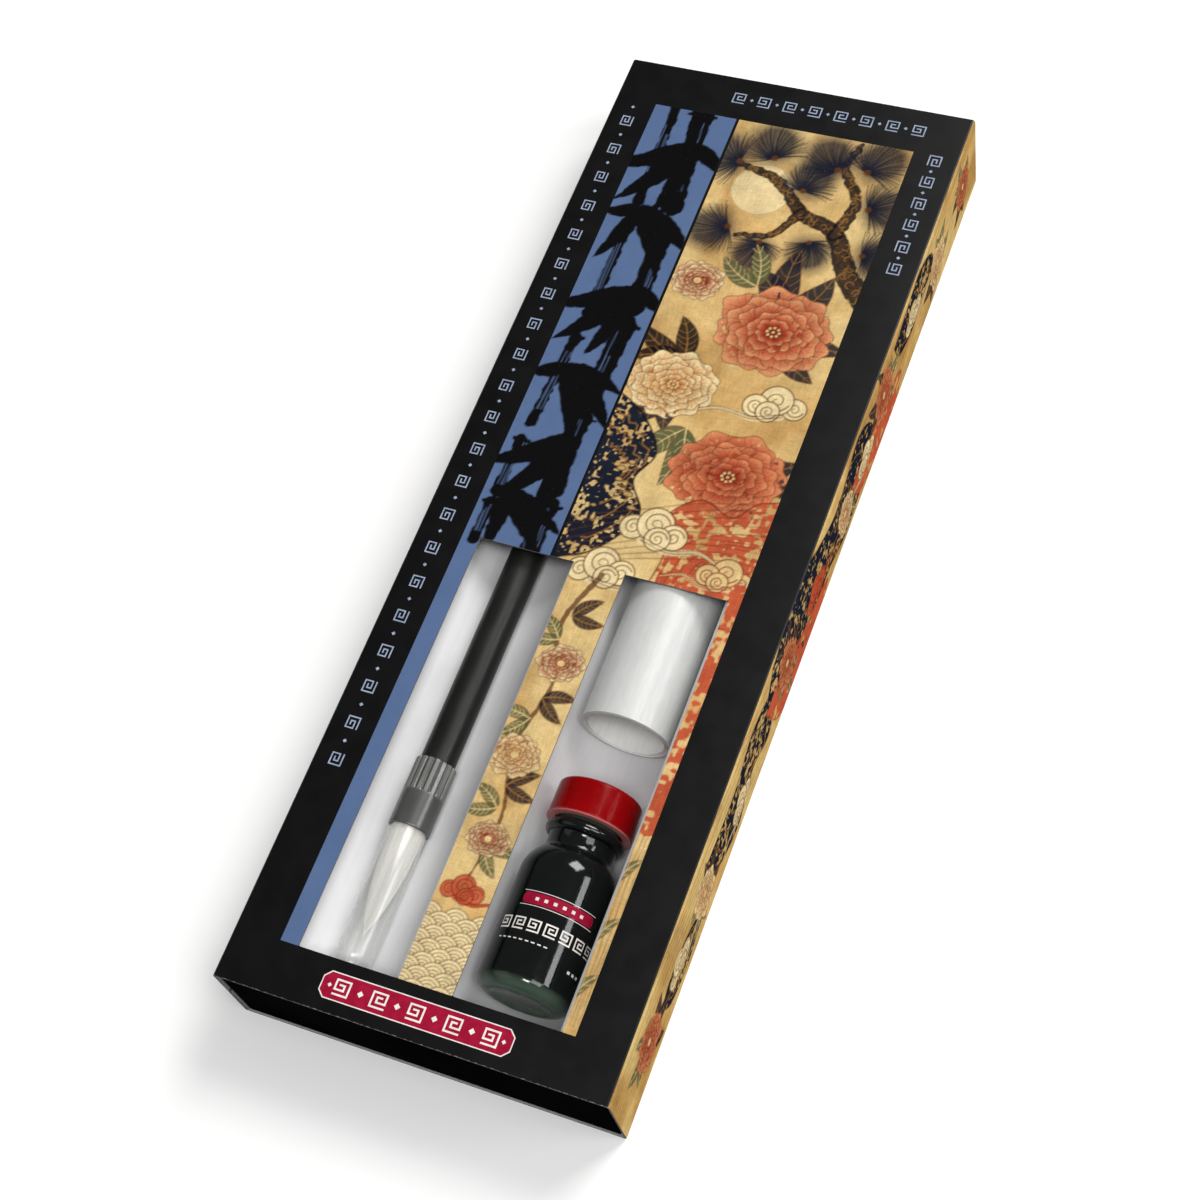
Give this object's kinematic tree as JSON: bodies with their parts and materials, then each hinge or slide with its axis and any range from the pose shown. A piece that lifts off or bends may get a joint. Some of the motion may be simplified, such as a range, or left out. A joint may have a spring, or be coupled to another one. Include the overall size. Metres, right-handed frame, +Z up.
{
  "type": "calligraphy set box",
  "caption": "Flat card sleeve with film windows and a slide-out drawer, whose formed tray holds a brush under a clear guard, a screw-capped ink bottle and a paper roll.",
  "frame": {"origin": "middle of the box's underside", "axes": "+X across the box to the bottle's side, +Y along the box from its near end to its far end, +Z up through the windows"},
  "size_m": [0.1, 0.2848, 0.0265],
  "materials": {
    "sleeve_print": "satin",
    "film": "gloss",
    "black_card": "matte",
    "formed_sheet": "satin",
    "dark_glass": "gloss",
    "ink": "gloss",
    "red_cap": "gloss",
    "liner": "matte",
    "rolled_paper": "matte",
    "black_handle": "matte",
    "smoky_plastic": "gloss",
    "resin": "gloss",
    "hair": "matte",
    "clear_guard": "gloss"
  },
  "bodies": {
    "sleeve": {"sleeve_card": "sleeve_print", "window_film": "film"},
    "drawer": {"drawer_card": "black_card", "insert_tray": "formed_sheet", "ink_bottle": "dark_glass", "ink": "ink", "paper_roll": "rolled_paper", "brush_handle": "black_handle", "handle_plug": "black_handle", "brush_collar": "smoky_plastic", "tuft_plug": "resin", "brush_hair": "hair"},
    "guard": {"hair_guard": "clear_guard"},
    "cap_seal": {"cap_liner": "liner"},
    "cap": {"bottle_cap": "red_cap"}
  },
  "joints": [
    {"name": "drawer_slide", "type": "slide", "parent": "sleeve", "child": "drawer", "axis": [0, -1, 0], "range_m": [-0.285, 0.285]},
    {"name": "guard_slide", "type": "slide", "parent": "drawer", "child": "guard", "axis": [0, -1, 0], "range_m": [0, 0.007]},
    {"name": "cap_rise", "type": "slide", "parent": "drawer", "child": "cap_seal", "axis": [0, 1, 0], "range_m": [0, 0.0045]},
    {"name": "cap_turn", "type": "hinge", "parent": "cap_seal", "child": "cap", "pos_m": [0.0182, -0.0783, 0.0137], "axis": [0, 1, 0], "range_deg": [0, 540]}
  ],
  "couplings": [
    {"joint": "cap_turn", "follows": "cap_rise", "rad_per_m": 2094.4}
  ]
}
